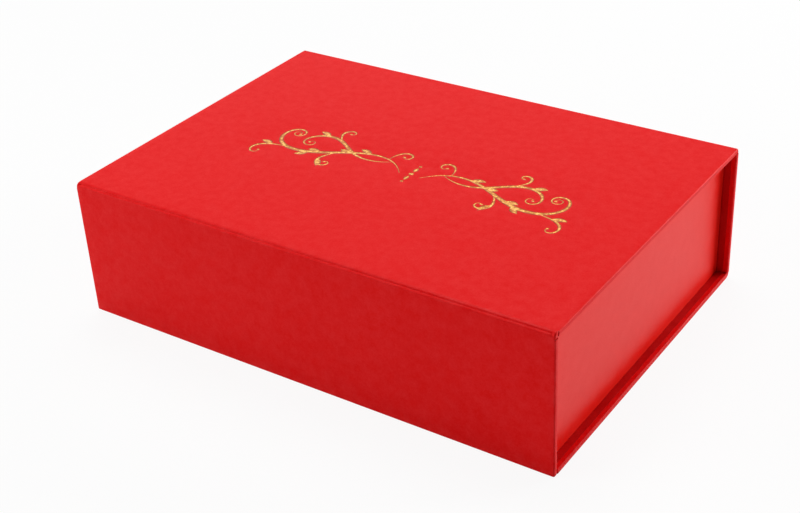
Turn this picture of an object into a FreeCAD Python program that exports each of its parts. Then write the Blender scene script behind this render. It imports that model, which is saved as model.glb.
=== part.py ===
"""A book-style rigid gift box: a paper-covered case of four boards round a tray.

The case is one chain of boards: base, spine, lid and front flap. The tray is glued to the base
and the spine. The lid turns on the fold above the spine, and the flap on the fold at the lid's
front, where magnets in the flap meet magnets in the tray's front wall.

The origin is at the bottom centre of the closed box. +X runs along the box, -Y points to the
front flap and +Z is up. All sizes are in millimetres.
"""
import FreeCAD, Part
import math
import os

from FreeCAD import Vector

# The closed box, outside
OUTER_LENGTH = 320.0
OUTER_DEPTH = 226.0
OUTER_HEIGHT = 89.0

# The sheets that it is made from: the case is of thicker board than the tray
CASE_BOARD = 3.0
TRAY_BOARD = 2.0
PAPER = 0.15
TAPE = 0.12

# How far the case stands out past each end of the tray
OVERHANG = 7.0

# How the covering and lining papers are cut
TURN_IN = 15.0
LINER_MARGIN = 3.0
FLOOR_MARGIN = 0.6

# Rounding of a board's arrises, and of the tray's upright corners over the paper
BOARD_ROUND = 0.5
TRAY_ROUND = 1.2

# The folds: spare width in the crease, the flat strip of paper at each side of it, its setback
# at the ends, and how far the grooved one turns down before it turns back
CREASE_SLACK = 0.25
CREASE_LEAD = 0.35
CREASE_END = 0.3
GROOVE_TURN = 100.0

# Running gaps: lid above the tray's rim, flap before the tray, flap above the table
LID_GAP = 0.3
FLAP_GAP = 0.4
FLAP_LIFT = 0.6

# Magnets: discs in pockets as deep as the tray's board, with a tape patch over each
MAGNET_DIAMETER = 15.0
MAGNET_FIT = 0.1
MAGNET_SLACK = 0.4
MAGNET_SPACING = 190.0
MAGNET_MARGIN = 3.0
PATCH_SIZE = 24.0

# Corner stays: gummed tape, folded round each upright corner of the tray
STAY_LEG = 18.0

# Two coordinates closer than this are the same
SAME_PLACE = 1e-6

# A covered board without and with its lining paper, and where boards stop short of a fold
COVERED = CASE_BOARD + 2 * PAPER
PLATE = COVERED + PAPER
FOLD_SETBACK = PLATE + CREASE_SLACK
FOLD_PAPER = 2 * PAPER

HALF_LENGTH = OUTER_LENGTH / 2
FRONT_FACE = -OUTER_DEPTH / 2
BACK_FACE = OUTER_DEPTH / 2

# The tray's outer faces
TRAY_END = HALF_LENGTH - OVERHANG
TRAY_FRONT = FRONT_FACE + PLATE + FLAP_GAP
TRAY_BACK = BACK_FACE - PLATE
TRAY_BOTTOM = PLATE
TRAY_RIM = OUTER_HEIGHT - PLATE - LID_GAP
TRAY_FLOOR = TRAY_BOTTOM + PAPER + TRAY_BOARD

MAGNET_HEIGHT = FLAP_LIFT + TURN_IN + MAGNET_MARGIN + PATCH_SIZE / 2
MAGNET_THICKNESS = TRAY_BOARD - MAGNET_SLACK

TO_FRONT = Vector(0, -1, 0)
TO_BACK = Vector(0, 1, 0)
UP = Vector(0, 0, 1)
DOWN = Vector(0, 0, -1)

# The corners that the case folds round, where the outer faces would meet if they were sharp
BOTTOM_CORNER = Vector(0, BACK_FACE, 0)
BACK_CORNER = Vector(0, BACK_FACE, OUTER_HEIGHT)
FRONT_CORNER = Vector(0, FRONT_FACE, OUTER_HEIGHT)


def block(x_range, y_range, z_range):
    """A box between two values along each axis."""
    (x0, x1), (y0, y1), (z0, z1) = x_range, y_range, z_range
    return Part.makeBox(x1 - x0, y1 - y0, z1 - z0, Vector(x0, y0, z0))


def lies_at(edge, axis, value):
    """True if the whole edge lies in the plane where that coordinate has the value."""
    return all(abs(getattr(vertex.Point, axis) - value) < SAME_PLACE for vertex in edge.Vertexes)


# Case panels: board, covering paper and lining paper

def rounded_slab(half_length, near, far, depths, radius, far_is_fold):
    """A flat slab with its arrises rounded, apart from those that face a fold."""
    slab = block((-half_length, half_length), (near, far), depths)
    fold_sides = [near, far] if far_is_fold else [near]
    edges = [e for e in slab.Edges if not any(lies_at(e, "y", side) for side in fold_sides)]
    return slab.makeFillet(radius, edges)


def covered_panel(width, far_is_fold):
    """Board, covering paper and lining paper of one panel of the case, laid flat.

    x runs along the box, y from the corner of the panel's first fold to its far side, and z from
    the outer face inwards. The far side is a second fold or a free edge.
    """
    near = FOLD_SETBACK
    far = width - FOLD_SETBACK if far_is_fold else width
    board_far = far if far_is_fold else far - PAPER
    window_far = far if far_is_fold else far - TURN_IN
    liner_far = far + PAPER if far_is_fold else far - LINER_MARGIN
    window_half = HALF_LENGTH - TURN_IN
    liner_half = HALF_LENGTH - LINER_MARGIN

    board_depths = (PAPER, PAPER + CASE_BOARD)
    board = rounded_slab(HALF_LENGTH - PAPER, near, board_far, board_depths, BOARD_ROUND, far_is_fold)
    covered = rounded_slab(HALF_LENGTH, near, far, (0, COVERED), BOARD_ROUND + PAPER, far_is_fold)
    window = block((-window_half, window_half), (near, window_far), (PAPER + CASE_BOARD, COVERED))
    wrap = covered.cut(board).cut(window)

    # The lining lies on the board and the turned-in paper, and covers the board's edge at a fold
    liner = block((-liner_half, liner_half), (near - PAPER, liner_far), (FOLD_PAPER, PLATE))
    liner = liner.cut(board).cut(wrap)
    return board, wrap, liner


def stand_up(shape, corner, across, inwards):
    """Move a flat panel to its place in the closed box."""
    rotation = FreeCAD.Rotation(across.cross(inwards), across, inwards, "ZYX")
    return shape.transformed(FreeCAD.Placement(corner, rotation).toMatrix())


def case_panels():
    """The four panels of the case, as node names and shapes."""
    base_width = BACK_FACE - TRAY_FRONT
    flap_width = OUTER_HEIGHT - FLAP_LIFT
    places = {
        "base": (base_width, False, BOTTOM_CORNER, TO_FRONT, UP),
        "spine": (OUTER_HEIGHT, True, BOTTOM_CORNER, UP, TO_FRONT),
        "lid": (OUTER_DEPTH, True, BACK_CORNER, TO_FRONT, DOWN),
        "flap": (flap_width, False, FRONT_CORNER, DOWN, TO_BACK),
    }
    nodes = {}
    for name, (width, far_is_fold, corner, across, inwards) in places.items():
        layers = covered_panel(width, far_is_fold)
        for layer, shape in zip(("board", "wrap", "liner"), layers):
            nodes[f"{name}_{layer}"] = stand_up(shape, corner, across, inwards)
    return nodes


# Folds: the covering and lining papers, glued together, bridge from board to board

def arc(centre, radius, start, end):
    """An arc about a centre between two directions in degrees, as three points."""
    angles = [math.radians(a) for a in (start, (start + end) / 2, end)]
    return [(centre[0] + radius * math.cos(a), centre[1] + radius * math.sin(a)) for a in angles]


def rounded_fold():
    """Section of a fold that bulges outwards: arcs of its outer and of its inner face."""
    radius = FOLD_SETBACK - CREASE_LEAD
    centre = (radius, radius)
    outer = [arc(centre, radius, 270, 180)]
    inner = [arc(centre, radius - FOLD_PAPER, 270, 180)]
    return outer, inner


def grooved_fold():
    """Section of a fold pressed in along its middle: three arcs of one radius in each face."""
    turn = math.radians(GROOVE_TURN)
    lead = FOLD_SETBACK - CREASE_LEAD
    radius = lead / (1 + 2 * (math.sin(turn) - math.cos(turn)))
    middle = lead - 2 * radius * math.sin(turn)
    shoulders = [(lead, radius), (radius, lead)]
    ends = [(270, 270 - GROOVE_TURN), (180 + GROOVE_TURN, 180)]
    groove = (90 - GROOVE_TURN, GROOVE_TURN)

    def face(depth):
        first, last = [arc(c, radius - depth, *e) for c, e in zip(shoulders, ends)]
        return [first, arc((middle, middle), radius + depth, *groove), last]

    return face(0), face(FOLD_PAPER)


def fold_strip(section, corner, first, second):
    """A strip of fold paper along the box.

    The section is drawn from a corner of the case: its first coordinate runs back along one
    panel and its second along the other.
    """
    outer, inner = section
    start = corner - Vector(HALF_LENGTH - CREASE_END, 0, 0)
    length = OUTER_LENGTH - 2 * CREASE_END

    def place(point):
        return start + first * point[0] + second * point[1]

    def path(arcs, depth):
        first_end = place((FOLD_SETBACK, depth))
        last_end = place((depth, FOLD_SETBACK))
        curves = [Part.Arc(*[place(p) for p in points]).toShape() for points in arcs]
        lead = Part.makeLine(first_end, place(arcs[0][0]))
        tail = Part.makeLine(place(arcs[-1][-1]), last_end)
        return [lead, *curves, tail], first_end, last_end

    outer_edges, outer_first, outer_last = path(outer, 0)
    inner_edges, inner_first, inner_last = path(inner, FOLD_PAPER)
    sides = [Part.makeLine(outer_first, inner_first), Part.makeLine(outer_last, inner_last)]
    outline = Part.Wire(Part.__sortEdges__(outer_edges + inner_edges + sides))
    return Part.Face(outline).extrude(Vector(length, 0, 0))


def case_folds():
    """The three folds of the case, as node names and shapes."""
    return {
        "base_fold": fold_strip(rounded_fold(), BOTTOM_CORNER, TO_FRONT, UP),
        "lid_fold": fold_strip(rounded_fold(), BACK_CORNER, DOWN, TO_FRONT),
        "flap_fold": fold_strip(grooved_fold(), FRONT_CORNER, TO_BACK, DOWN),
    }


# Tray: five boards, their corner stays, covering and lining papers

def tray_prism(inset, low, high, corner_round=0.0):
    """A prism inside the tray's outer faces, with its upright corners rounded if asked."""
    x_range = (-TRAY_END + inset, TRAY_END - inset)
    y_range = (TRAY_FRONT + inset, TRAY_BACK - inset)
    prism = block(x_range, y_range, (low, high))
    if corner_round > 0:
        upright = [e for e in prism.Edges if not (lies_at(e, "z", low) or lies_at(e, "z", high))]
        prism = prism.makeFillet(corner_round, upright)
    return prism


def tray_ring(outer_inset, inner_inset, low, high):
    """A square-cornered band round the tray's inside."""
    return tray_prism(outer_inset, low, high).cut(tray_prism(inner_inset, low, high))


def tray_corner_stays():
    """Tape pressed into the boards, round each upright corner from bottom to rim."""
    low = TRAY_BOTTOM + PAPER
    high = TRAY_RIM - PAPER
    corner_round = TRAY_ROUND - PAPER
    outside = tray_prism(PAPER, low, high, corner_round)
    inside = tray_prism(PAPER + TAPE, low, high, corner_round - TAPE)
    skin = outside.cut(inside)
    corners = []
    for x_range in ((-TRAY_END, -TRAY_END + STAY_LEG), (TRAY_END - STAY_LEG, TRAY_END)):
        for y_range in ((TRAY_FRONT, TRAY_FRONT + STAY_LEG), (TRAY_BACK - STAY_LEG, TRAY_BACK)):
            corners.append(skin.common(block(x_range, y_range, (low, high))))
    return corners


def tray_boards(stays):
    """The tray's bottom and walls: the long walls run past the short ones."""
    low = TRAY_BOTTOM + PAPER
    high = TRAY_RIM - PAPER
    envelope = tray_prism(PAPER, low, high, TRAY_ROUND - PAPER)
    end = TRAY_END - PAPER
    front = TRAY_FRONT + PAPER
    back = TRAY_BACK - PAPER
    wall = (TRAY_FLOOR, high)
    between = (front + TRAY_BOARD, back - TRAY_BOARD)
    places = {
        "bottom": ((-end, end), (front, back), (low, TRAY_FLOOR)),
        "front": ((-end, end), (front, front + TRAY_BOARD), wall),
        "back": ((-end, end), (back - TRAY_BOARD, back), wall),
        "left": ((-end, -end + TRAY_BOARD), between, wall),
        "right": ((end - TRAY_BOARD, end), between, wall),
    }
    boards = {}
    for name, ranges in places.items():
        boards[f"tray_{name}_board"] = envelope.common(block(*ranges)).cut(stays)
    return boards


def tray_wrap():
    """Covering paper: round the walls, over the rim and down inside, and under the bottom."""
    face = PAPER + TRAY_BOARD
    cover = tray_prism(0, TRAY_BOTTOM, TRAY_RIM, TRAY_ROUND)
    core = tray_prism(PAPER, TRAY_BOTTOM + PAPER, TRAY_RIM - PAPER, TRAY_ROUND - PAPER)
    mouth = tray_prism(face + PAPER, TRAY_RIM - PAPER, TRAY_RIM)
    window = tray_prism(TURN_IN, TRAY_BOTTOM, TRAY_BOTTOM + PAPER)
    turned_in = tray_ring(face, face + PAPER, TRAY_RIM - TURN_IN, TRAY_RIM)
    return cover.cut([core, mouth, window]).fuse(turned_in).removeSplitter()


def tray_liners(wrap, patches):
    """Lining papers: a band round the walls, over the turned-in paper, and a floor sheet."""
    face = PAPER + TRAY_BOARD
    band = tray_ring(face, face + 2 * PAPER, TRAY_FLOOR, TRAY_RIM - LINER_MARGIN)
    floor = tray_prism(face + 2 * PAPER + FLOOR_MARGIN, TRAY_FLOOR, TRAY_FLOOR + PAPER)
    return {
        "tray_wall_liner": band.cut([wrap, *patches]),
        "tray_floor_liner": floor,
    }


# Magnets: pairs of discs, flap and tray in line

def discs(diameter, thickness, start_y):
    """A disc at each magnet's place, with its axis along Y."""
    radius = diameter / 2
    places = [Vector(side * MAGNET_SPACING / 2, start_y, MAGNET_HEIGHT) for side in (-1, 1)]
    return [Part.makeCylinder(radius, thickness, place, TO_BACK) for place in places]


def magnet_set(inner_face):
    """Pockets, magnets and tape patches for a board whose inner face is at this y."""
    pockets = discs(MAGNET_DIAMETER + 2 * MAGNET_FIT, TRAY_BOARD, inner_face - TRAY_BOARD)
    magnets = discs(MAGNET_DIAMETER, MAGNET_THICKNESS, inner_face - TRAY_BOARD + MAGNET_SLACK / 2)
    z_range = (MAGNET_HEIGHT - PATCH_SIZE / 2, MAGNET_HEIGHT + PATCH_SIZE / 2)
    patches = []
    for side in (-1, 1):
        middle = side * MAGNET_SPACING / 2
        x_range = (middle - PATCH_SIZE / 2, middle + PATCH_SIZE / 2)
        patches.append(block(x_range, (inner_face, inner_face + PAPER), z_range))
    return pockets, magnets, patches


def build():
    """Every node of the box, by name."""
    nodes = {**case_panels(), **case_folds()}

    pockets, magnets, patches = magnet_set(FRONT_FACE + PAPER + CASE_BOARD)
    nodes["flap_board"] = nodes["flap_board"].cut(pockets)
    nodes["flap_liner"] = nodes["flap_liner"].cut(patches)
    nodes["flap_magnets"] = Part.makeCompound(magnets)
    nodes["flap_magnet_patches"] = Part.makeCompound(patches)

    stays = tray_corner_stays()
    wrap = tray_wrap()
    pockets, magnets, patches = magnet_set(TRAY_FRONT + PAPER + TRAY_BOARD)
    nodes.update(tray_boards(stays))
    nodes["tray_front_board"] = nodes["tray_front_board"].cut(pockets)
    nodes["tray_corner_stays"] = Part.makeCompound(stays)
    nodes["tray_wrap"] = wrap
    nodes.update(tray_liners(wrap, patches))
    nodes["tray_magnets"] = Part.makeCompound(magnets)
    nodes["tray_magnet_patches"] = Part.makeCompound(patches)
    return nodes


os.makedirs("parts", exist_ok=True)
for node, shape in build().items():
    shape.exportStep(f"parts/{node}.step")
    print(f"{node}: {len(shape.Solids)} solid(s), {shape.Volume:.1f} mm3")
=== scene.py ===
# %% [markdown]
# # A red gift box whose lid folds down over its front
#
# The real box is four boards covered by one sheet of red paper, so that they fold round a tray.
# Gold foil is pressed into the lid. At this size nothing on it is truly flat or sharp: paper
# rounds every arris, sinks a little into each fold and shows a faint step wherever one sheet
# lies over another. This lesson dresses the plain model of the box with those skins of paper.
# Closed, the flap hangs in front, the spine stands at the back and the tray shows at both ends.

import math

import bmesh
import bpy
import numpy as np
from mathutils import Matrix, Vector, noise
from mathutils.geometry import delaunay_2d_cdt


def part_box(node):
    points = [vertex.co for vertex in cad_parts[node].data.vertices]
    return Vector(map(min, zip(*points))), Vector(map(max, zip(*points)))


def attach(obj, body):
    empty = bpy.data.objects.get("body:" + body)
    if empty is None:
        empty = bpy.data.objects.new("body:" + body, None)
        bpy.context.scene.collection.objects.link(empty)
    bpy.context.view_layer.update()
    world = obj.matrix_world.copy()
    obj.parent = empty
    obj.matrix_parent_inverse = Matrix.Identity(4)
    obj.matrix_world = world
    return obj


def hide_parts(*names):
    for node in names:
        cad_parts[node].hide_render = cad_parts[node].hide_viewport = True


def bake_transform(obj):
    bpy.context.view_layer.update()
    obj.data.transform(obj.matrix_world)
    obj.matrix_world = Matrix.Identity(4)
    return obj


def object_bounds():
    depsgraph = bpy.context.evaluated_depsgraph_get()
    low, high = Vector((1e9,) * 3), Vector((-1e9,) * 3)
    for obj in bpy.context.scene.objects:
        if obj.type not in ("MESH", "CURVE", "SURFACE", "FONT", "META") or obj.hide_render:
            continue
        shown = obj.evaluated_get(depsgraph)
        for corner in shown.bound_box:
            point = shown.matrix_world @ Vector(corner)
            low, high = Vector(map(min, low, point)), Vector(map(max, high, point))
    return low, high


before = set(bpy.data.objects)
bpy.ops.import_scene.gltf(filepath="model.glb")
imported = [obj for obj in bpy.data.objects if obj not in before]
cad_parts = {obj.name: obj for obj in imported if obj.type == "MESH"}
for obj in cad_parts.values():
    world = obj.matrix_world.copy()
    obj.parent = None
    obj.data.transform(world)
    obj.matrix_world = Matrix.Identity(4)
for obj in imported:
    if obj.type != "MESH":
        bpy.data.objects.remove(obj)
model_low, model_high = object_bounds()
print("Nodes in the model:", len(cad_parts))

# %% [markdown]
# ## Sizes
#
# All meshes here are drawn in millimetres, because paper and board are bought that way, and are
# scaled to metres when they become objects. The few sizes that the model doesn't state by itself
# come first: the paper's thickness, the radius of a covered arris, and how far the paper is turned
# in behind a board. Everything else is read from the boxes of the model's own nodes. Some sheets
# are drawn thinner than the real paper, so that their hidden side touches nothing behind them.

# %% Sizes that the skins share
MM = 0.001
PAPER = 0.15
GLUED_PAPER = 0.9 * PAPER
HALF_PAPER = 0.5 * PAPER
ARRIS = 0.8
TURN_IN = 15.0
ARC_STEPS = 4
GRID_PITCH = 8.0


def node_box(node):
    """Lowest and highest corner of a node, in millimetres."""
    return [np.array(corner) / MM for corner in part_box(node)]


box_low, box_high = np.array(model_low) / MM, np.array(model_high) / MM
FRONT, BACK, TOP = box_low[1], box_high[1], box_high[2]
print("The closed box in mm:", np.round(box_high - box_low, 2))

# %% [markdown]
# ## From points to a piece
#
# A skin is worked out as plain lists of points and faces. One helper turns them into an object:
# it scales them, welds points that coincide, gives the sheet its thickness on the inner side and
# shades it smoothly apart from real arrises. Solidify is the right modifier for paper, because
# the visible face stays exactly where it was drawn.

# %% A helper that makes one piece of sheet
WELD = 0.001
SHARP = math.radians(50)


def add_piece(name, points, faces, thickness=0.0):
    """A mesh object from points in millimetres, with the sheet's thickness behind its faces."""
    mesh = bpy.data.meshes.new(name)
    mesh.from_pydata([tuple(float(c) * MM for c in p) for p in points], [], faces)
    form = bmesh.new()
    form.from_mesh(mesh)
    bmesh.ops.remove_doubles(form, verts=form.verts, dist=WELD * MM)
    form.to_mesh(mesh)
    form.free()
    piece = bpy.data.objects.new(name, mesh)
    bpy.context.scene.collection.objects.link(piece)
    if thickness:
        sheet = piece.modifiers.new("sheet", "SOLIDIFY")
        sheet.thickness = thickness * MM
        sheet.offset = -1
        bpy.context.view_layer.update()
        finished = piece.evaluated_get(bpy.context.evaluated_depsgraph_get())
        solid = bpy.data.meshes.new_from_object(finished)
        piece.modifiers.clear()
        piece.data = solid
        solid.name = name
    for face in piece.data.polygons:
        face.use_smooth = True
    piece.data.set_sharp_from_angle(angle=SHARP)
    return piece


print("Points closer than", WELD, "mm become one.")


# %% A helper that gives a piece its finish and its place in the model
def dress(piece, body, material, nodes=()):
    """Give a piece its finish, the body that it rides on and the nodes that it stands for."""
    piece.data.materials.clear()
    piece.data.materials.append(material)
    if body:
        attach(piece, body)
    if nodes:
        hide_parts(*nodes)
    print(piece.name, "has", len(piece.data.polygons), "faces")
    return piece


# %% [markdown]
# ## Finishes
#
# A finish is a small network of shader nodes. Writing one node at a time hides the idea, so a
# small class wraps an output socket and lets sums be written as sums: 1 - mask adds a Math node.
# Every other kind of node comes from one method, which sets the node's settings, such as the two
# stops of a colour ramp, and then feeds its sockets with numbers or with other outputs.

# %% The class behind the finishes
class Output:
    """One output socket, with the operators that shader maths needs."""

    def __init__(self, tree, socket=None):
        self.tree = tree
        self.socket = socket

    def node(self, kind, settings=None, inputs=None, output=0):
        """Add a node, set it up, feed its sockets and return the output asked for."""
        made = self.tree.nodes.new(kind)
        for key, value in (settings or {}).items():
            if key == "stops":
                for element, (place, colour) in zip(made.color_ramp.elements, value):
                    element.position = place
                    element.color = colour
            else:
                setattr(made, key, value)
        for key, value in (inputs or {}).items():
            if isinstance(value, Output):
                self.tree.links.new(value.socket, made.inputs[key])
            else:
                made.inputs[key].default_value = value
        return Output(self.tree, made.outputs[output])

    def maths(self, operation, first, second):
        return self.node("ShaderNodeMath", {"operation": operation}, {0: first, 1: second})

    def __add__(self, other):
        return self.maths("ADD", self, other)

    def __sub__(self, other):
        return self.maths("SUBTRACT", self, other)

    def __rsub__(self, other):
        return self.maths("SUBTRACT", other, self)

    def __mul__(self, other):
        return self.maths("MULTIPLY", self, other)

    __radd__ = __add__
    __rmul__ = __mul__


# %% Start a material and link its shader
def new_finish(name, constants):
    """A material with one Principled shader: its tree's first output, the shader and itself."""
    material = bpy.data.materials.new(name)
    material.use_nodes = True
    shader = material.node_tree.nodes["Principled BSDF"]
    for socket, value in constants.items():
        shader.inputs[socket].default_value = value
    return material, shader, Output(material.node_tree)


def feed(start, shader, **links):
    """Link outputs to the shader's sockets, whose names are written with underscores."""
    for socket, value in links.items():
        start.tree.links.new(value.socket, shader.inputs[socket.replace("_", " ")])


# %% [markdown]
# ### Paper
#
# Dyed paper is never one colour. Seen close, its fibres clump into soft clouds some millimetres
# wide, with a finer grain on top, and both catch the light a little differently. Two sizes of
# noise mix two reds that lie close together, and a third, stretched noise raises the fibres in
# the bump. Object coordinates are the same for all pieces here, so the clouds run on from one
# sheet to the next. A thin lacquer lies on the paper unevenly, which is the coat's weight.

# %% One recipe for all the papers
GRAIN_SIZE = 0.9
FIBRE_SIZE = 0.5
FIBRE_STRETCH = (0.35, 1.0, 1.0)
CLOUD_SHARE = 0.55
FIBRE_SHARE = 0.6
DARKEST, LIGHTEST = 0.36, 0.64
NOISE_MEAN = 0.5
ROUGHNESS_SPREAD = 0.16
COAT_ROUGHNESS = 0.45
COAT_MEAN = 0.10
COAT_SPREAD = 0.42


def noise_of(start, place, size, detail, roughness):
    """A noise whose features are about size millimetres wide."""
    return start.node("ShaderNodeTexNoise", {}, {
        "Vector": place, "Scale": 1 / (size * MM), "Detail": detail, "Roughness": roughness})


def paper(name, dark, light, roughness, gloss, cloud_size, relief):
    """A dyed paper. Sizes in millimetres, relief is the height of its fibres."""
    constants = {"Specular IOR Level": gloss, "Coat Roughness": COAT_ROUGHNESS}
    material, shader, start = new_finish(name, constants)
    place = start.node("ShaderNodeTexCoord", output="Object")
    clouds = noise_of(start, place, cloud_size, detail=5.0, roughness=0.6)
    grain = noise_of(start, place, GRAIN_SIZE, detail=3.0, roughness=0.7)
    drawn_out = start.node("ShaderNodeMapping", {}, {"Vector": place, "Scale": FIBRE_STRETCH})
    fibres = noise_of(start, drawn_out, FIBRE_SIZE, detail=4.0, roughness=0.65)
    tone = clouds * CLOUD_SHARE + grain * (1 - CLOUD_SHARE)
    stops = [(DARKEST, dark), (LIGHTEST, light)]
    colour = start.node("ShaderNodeValToRGB", {"stops": stops}, {"Fac": tone})
    height = fibres * FIBRE_SHARE + clouds * (1 - FIBRE_SHARE)
    bump = start.node("ShaderNodeBump", {}, {
        "Height": height, "Strength": 0.5, "Distance": relief * MM})
    rough = (clouds - NOISE_MEAN) * ROUGHNESS_SPREAD + roughness
    coat = (clouds + grain - 2 * NOISE_MEAN) * COAT_SPREAD + COAT_MEAN
    feed(start, shader, Base_Color=colour, Roughness=rough, Coat_Weight=coat, Normal=bump)
    return material


print("Finest detail of a paper in mm:", min(GRAIN_SIZE, FIBRE_SIZE))

# %% Make the three papers
covering = paper("covering_paper", dark=(0.845, 0.0003, 0.001, 1), light=(0.885, 0.006, 0.007, 1),
                 roughness=0.44, gloss=0.065, cloud_size=5.0, relief=0.05)
tray_paper = paper("tray_paper", dark=(0.90, 0.007, 0.002, 1), light=(0.93, 0.012, 0.005, 1),
                   roughness=0.34, gloss=0.125, cloud_size=8.0, relief=0.008)
# The lining is drawn a darker red than the covering; part of that darkness is painted shade, for where
# it shows on the spine's inner face beside the tray.
lining = paper("lining_paper", dark=(0.54, 0.001, 0.002, 1), light=(0.60, 0.003, 0.004, 1),
               roughness=0.46, gloss=0.06, cloud_size=8.0, relief=0.03)
print("Papers:", [m.name for m in (covering, tray_paper, lining)])

# %% [markdown]
# ### Board, tape, nickel and foil
#
# Greyboard is pressed from waste paper, so it is grey with pale and dark flecks. Gummed tape is
# brown kraft with long fibres. One recipe with flecks makes both.

# %% Board and tape
BOARD_CLOUDS = 16.667
FLECK_SHARE = 0.75
FLECK_ROUGHNESS = 0.1


def flecked(name, dark, light, fleck_size, stretch, roughness, relief):
    """A pressed or drawn stock with flecks. Sizes in millimetres."""
    material, shader, start = new_finish(name, {"Specular IOR Level": 0.2})
    place = start.node("ShaderNodeTexCoord", output="Object")
    drawn_out = start.node("ShaderNodeMapping", {}, {"Vector": place, "Scale": stretch})
    flecks = noise_of(start, drawn_out, fleck_size, detail=6.0, roughness=0.75)
    clouds = noise_of(start, place, BOARD_CLOUDS, detail=2.0, roughness=0.5)
    tone = flecks * FLECK_SHARE + clouds * (1 - FLECK_SHARE)
    stops = [(0.38, dark), (0.62, light)]
    colour = start.node("ShaderNodeValToRGB", {"stops": stops}, {"Fac": tone})
    bump = start.node("ShaderNodeBump", {}, {
        "Height": flecks, "Strength": 0.6, "Distance": relief * MM})
    rough = flecks * FLECK_ROUGHNESS + roughness
    feed(start, shader, Base_Color=colour, Roughness=rough, Normal=bump)
    return material


greyboard = flecked("greyboard", dark=(0.36, 0.34, 0.31, 1), light=(0.60, 0.58, 0.54, 1),
                    fleck_size=0.7, stretch=(1, 1, 1), roughness=0.85, relief=0.06)
kraft_tape = flecked("gummed_tape", dark=(0.42, 0.27, 0.14, 1), light=(0.56, 0.39, 0.22, 1),
                     fleck_size=0.9, stretch=(1, 1, 0.2), roughness=0.7, relief=0.03)
print("Stocks:", greyboard.name, kraft_tape.name)

# %% [markdown]
# Nickel and gold foil are metals: only their tint, their fine unevenness and what they reflect
# make them what they are. The gold's colour also runs at random between a bright and a dark
# tone, and these patches are painted highlights and painted reflections. Along the edges of a
# stroke, where the die pressed least, the foil is darkened to brown: that is painted shade on
# the slopes of the mark. The mesh of the foil will carry the pressing as an attribute called
# pressed, from 0 at an edge to 1 at the deepest place.

# %% Nickel and foil
WAVE_ROUGHNESS = 0.12
ALL_EDGE_SHADE, NO_EDGE_SHADE = 0.10, 0.75
MIX_FACTOR, MIX_FROM, MIX_TO, MIX_RESULT = 0, 6, 7, 2


def metal(name, tint, shade, roughness, wave_size, relief, shaded_edge=None):
    """A thin metal surface that is never quite even: its colour runs at random between shade and tint,
    which on the gold foil paints highlights and reflections. The last colour, if given, is painted
    shade along the edges of a stroke.
    """
    material, shader, start = new_finish(name, {"Metallic": 1.0})
    place = start.node("ShaderNodeTexCoord", output="Object")
    waves_and_glints = noise_of(start, place, wave_size, detail=3.0, roughness=0.55)
    # The noise mixes shade and tint into patches, which on the gold foil are painted highlights and
    # painted reflections.
    stops = [(0.36, shade), (0.66, tint)]
    colour = start.node("ShaderNodeValToRGB", {"stops": stops}, {"Fac": waves_and_glints})
    if shaded_edge:
        # Painted shade: where the stroke is pressed least, at its edges, the colour turns to the last,
        # dark brown colour.
        pressed = start.node("ShaderNodeAttribute", {"attribute_name": "pressed"}, output="Fac")
        black_to_white = [(ALL_EDGE_SHADE, (0, 0, 0, 1)), (NO_EDGE_SHADE, (1, 1, 1, 1))]
        full = start.node("ShaderNodeValToRGB", {"stops": black_to_white}, {"Fac": pressed})
        mixed = {MIX_FACTOR: full, MIX_FROM: shaded_edge, MIX_TO: colour}
        colour = start.node("ShaderNodeMix", {"data_type": "RGBA"}, mixed, output=MIX_RESULT)
    bump = start.node("ShaderNodeBump", {}, {
        "Height": waves_and_glints, "Strength": 0.7, "Distance": relief * MM})
    rough = waves_and_glints * WAVE_ROUGHNESS + roughness
    feed(start, shader, Base_Color=colour, Roughness=rough, Normal=bump)
    return material


nickel = metal("magnet_nickel", tint=(0.75, 0.74, 0.71, 1), shade=(0.62, 0.61, 0.58, 1),
               roughness=0.18, wave_size=6.0, relief=0.01)
# On the gold, shade and tint are painted reflections and highlights, and the last colour is painted
# shade at the edges of the strokes.
gold = metal("gold_foil", tint=(1.0, 0.57, 0.15, 1), shade=(0.54, 0.17, 0.03, 1),
             roughness=0.20, wave_size=1.8, relief=0.05, shaded_edge=(0.30, 0.05, 0.01, 1))
print("Finishes:", len(bpy.data.materials))

# %% [markdown]
# ## The covered boards
#
# Each board of the case is a slab with paper pulled over its edges and turned in behind. A box
# surface can be rounded with one rule: clamp a point to a smaller box inside, then push it out
# from there by the radius. Faces stay flat, edges become quarter rounds and corners become
# eighths of a ball, all from one formula. Grid lines crowd near the edges so that each quarter
# round gets equal steps.

# %% Grid lines and the rounding rule
def grid_lines(low, high, radius, pitch, more=()):
    """Places of the grid lines along one axis, crowded at the two rounded edges."""
    steps = [radius * (1 - math.tan(math.radians(45 * k / ARC_STEPS))) for k in range(ARC_STEPS + 1)]
    inner = np.linspace(low + radius, high - radius, max(2, round((high - low) / pitch)))
    lines = [*(low + s for s in steps), *(high - s for s in steps), *inner, *more]
    return np.array(sorted(set(round(float(v), 5) for v in lines)))


def rounded(points, core_low, core_high, radius):
    """Push points out from a smaller box, so that they lie on its rounded surface."""
    points = np.asarray(points, float)
    core = np.clip(points, core_low, core_high)
    away = points - core
    length = np.linalg.norm(away, axis=1, keepdims=True)
    return core + away / np.where(length > 0, length, 1) * radius


print("Lines over 20 mm:", grid_lines(0, 20, ARRIS, 5))


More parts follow.
